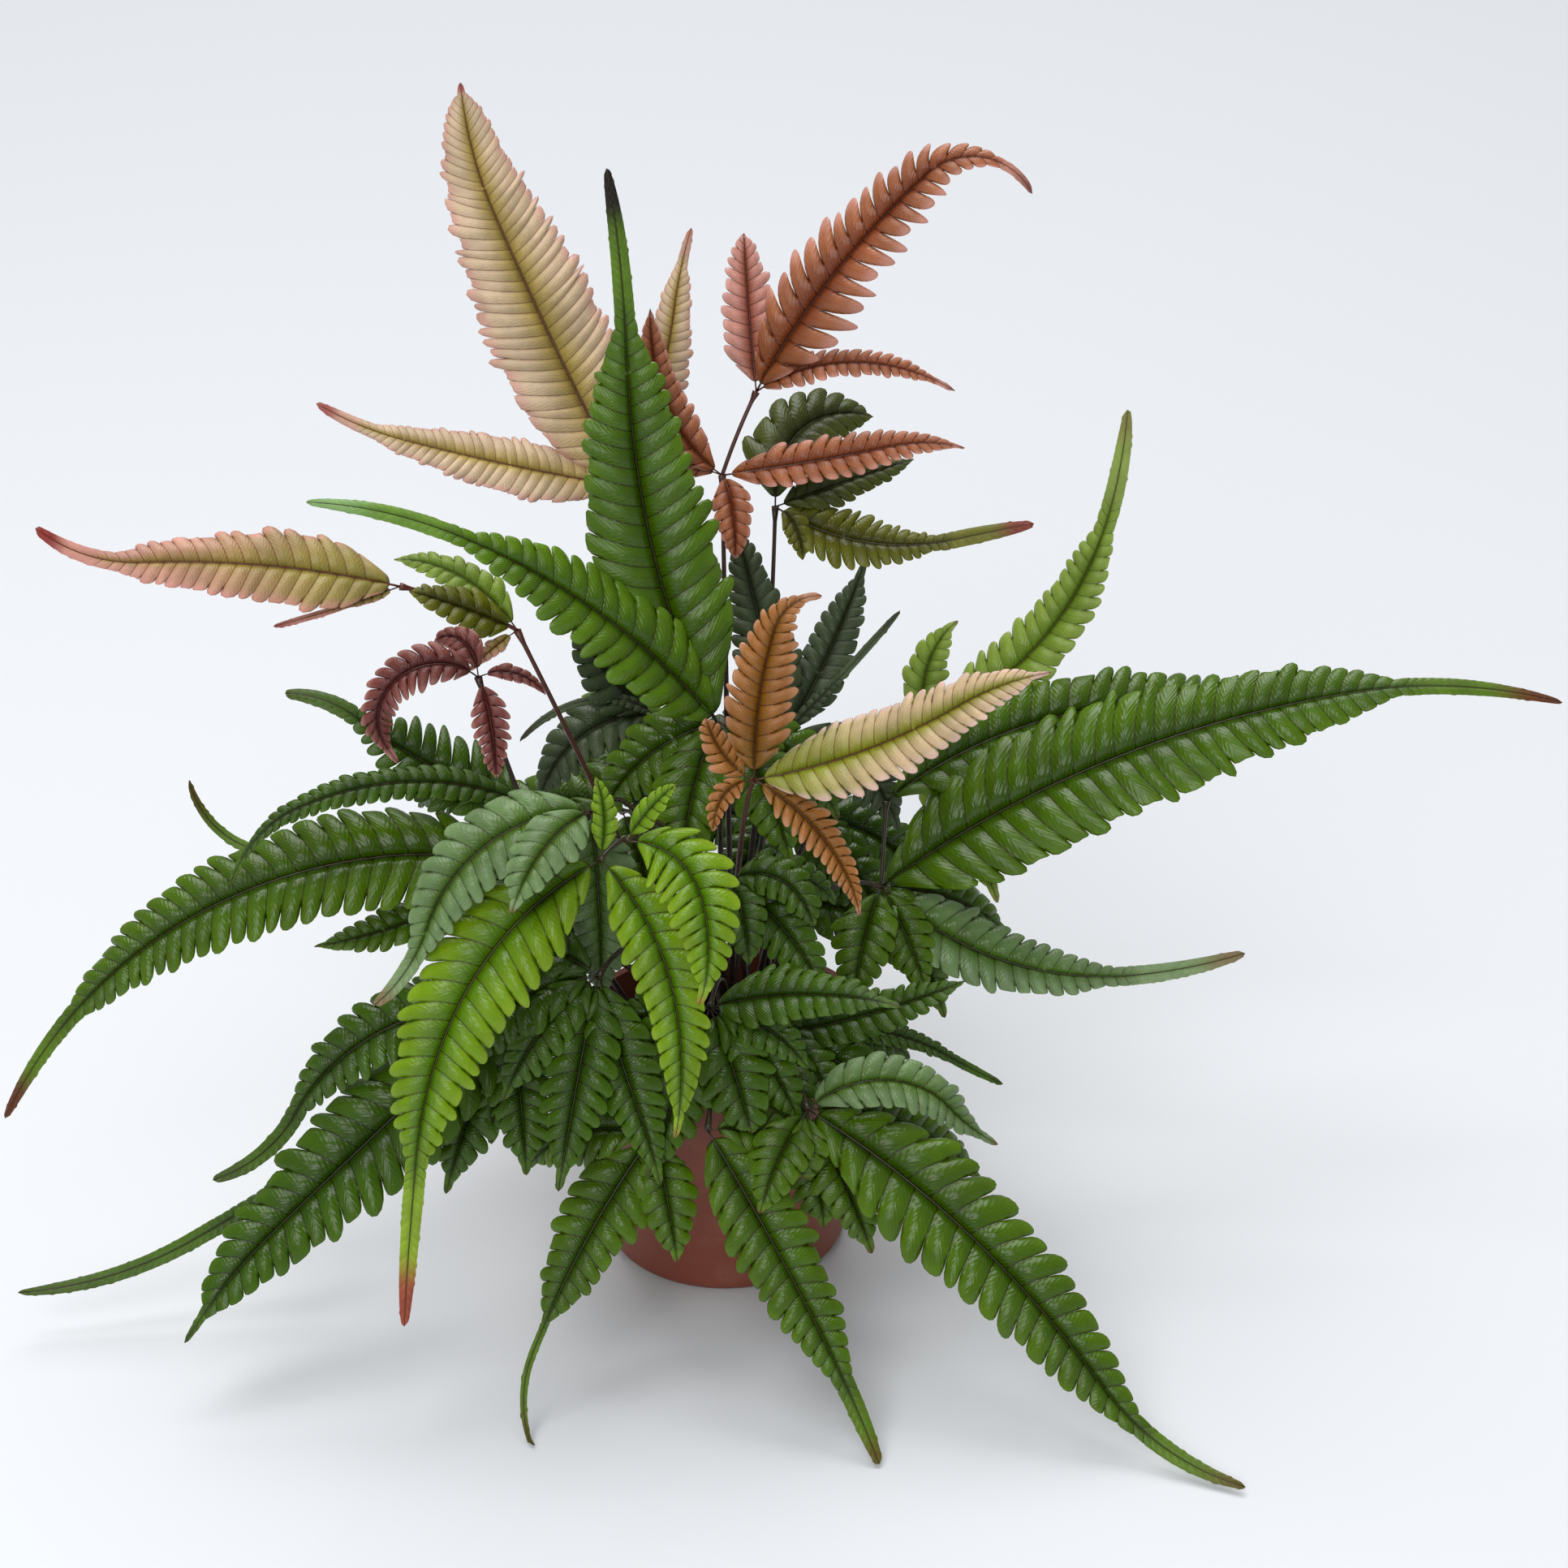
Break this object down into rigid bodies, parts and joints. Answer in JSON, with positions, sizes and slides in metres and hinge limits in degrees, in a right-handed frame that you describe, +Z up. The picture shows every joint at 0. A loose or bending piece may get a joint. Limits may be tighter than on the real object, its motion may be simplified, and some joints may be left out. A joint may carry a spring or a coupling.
{
  "type": "potted fern",
  "caption": "Painted brake fern in a round grower's pot: arching lobed fronds, young ones bronze and pink, old ones glossy green.",
  "frame": {"origin": "middle of the pot's flat underside, on the surface the pot stands on", "axes": "+Z up along the pot's axis; -Y is the fern's front, the side its leaves face; +X is the front's right"},
  "size_m": [0.5487, 0.3414, 0.4047],
  "materials": {
    "pot_plastic": "matt reddish-brown moulded plastic",
    "potting_soil": "dark crumbly peat-free potting mix",
    "crown_tissue": "rough woody rhizome with scales",
    "stalk": "thin glossy brown-black stalk",
    "leaf_bronze": "young cream and bronze leaf with pink edges",
    "leaf_copper": "young coppery-red leaf",
    "leaf_pink": "young pink-edged leaf",
    "leaf_maroon": "young dark maroon leaf",
    "leaf_olive": "satin olive-green leaf",
    "leaf_grey": "grey-green leaf with a bloom",
    "leaf_silver": "silvery green leaf",
    "leaf_deep": "glossy dark green leaf",
    "leaf_green": "glossy green leaf",
    "leaf_bright": "glossy yellow-green leaf",
    "leaf_pale": "pale satin green leaf"
  },
  "bodies": {
    "root": {"pot": "pot_plastic", "soil": "potting_soil", "rhizome_crown": "crown_tissue", "tall_bronze_stalk": "stalk", "tall_bronze_leaf": "leaf_bronze", "tall_copper_stalk": "stalk", "tall_copper_leaf": "leaf_copper", "upper_olive_stalk": "stalk", "upper_olive_leaf": "leaf_olive", "rear_grey_stalk": "stalk", "rear_grey_leaf": "leaf_grey", "rear_left_grey_stalk": "stalk", "rear_left_grey_leaf": "leaf_grey", "tall_green_stalk": "stalk", "tall_green_leaf": "leaf_green", "centre_young_stalk": "stalk", "centre_young_leaf": "leaf_bronze", "right_long_stalk": "stalk", "right_long_leaf": "leaf_green", "right_pale_stalk": "stalk", "right_pale_leaf": "leaf_pale", "left_pink_stalk": "stalk", "left_pink_leaf": "leaf_pink", "left_maroon_stalk": "stalk", "left_maroon_leaf": "leaf_maroon", "left_dark_stalk": "stalk", "left_dark_leaf": "leaf_deep", "left_long_stalk": "stalk", "left_long_leaf": "leaf_green", "left_silver_stalk": "stalk", "left_silver_leaf": "leaf_silver", "front_bright_stalk": "stalk", "front_bright_leaf": "leaf_bright", "front_curled_stalk": "stalk", "front_curled_leaf": "leaf_bright", "front_inner_stalk": "stalk", "front_inner_leaf": "leaf_deep", "centre_small_stalk": "stalk", "centre_small_leaf": "leaf_deep", "right_inner_stalk": "stalk", "right_inner_leaf": "leaf_deep", "low_left_stalk": "stalk", "low_left_leaf": "leaf_deep", "front_left_stalk": "stalk", "front_left_leaf": "leaf_deep", "low_front_left_stalk": "stalk", "low_front_left_leaf": "leaf_green", "low_front_right_stalk": "stalk", "low_front_right_leaf": "leaf_green", "low_right_stalk": "stalk", "low_right_leaf": "leaf_green", "back_left_stalk": "stalk", "back_left_leaf": "leaf_green", "back_right_stalk": "stalk", "back_right_leaf": "leaf_deep", "low_back_left_stalk": "stalk", "low_back_left_leaf": "leaf_deep", "low_back_right_stalk": "stalk", "low_back_right_leaf": "leaf_green"}
  },
  "joints": []
}
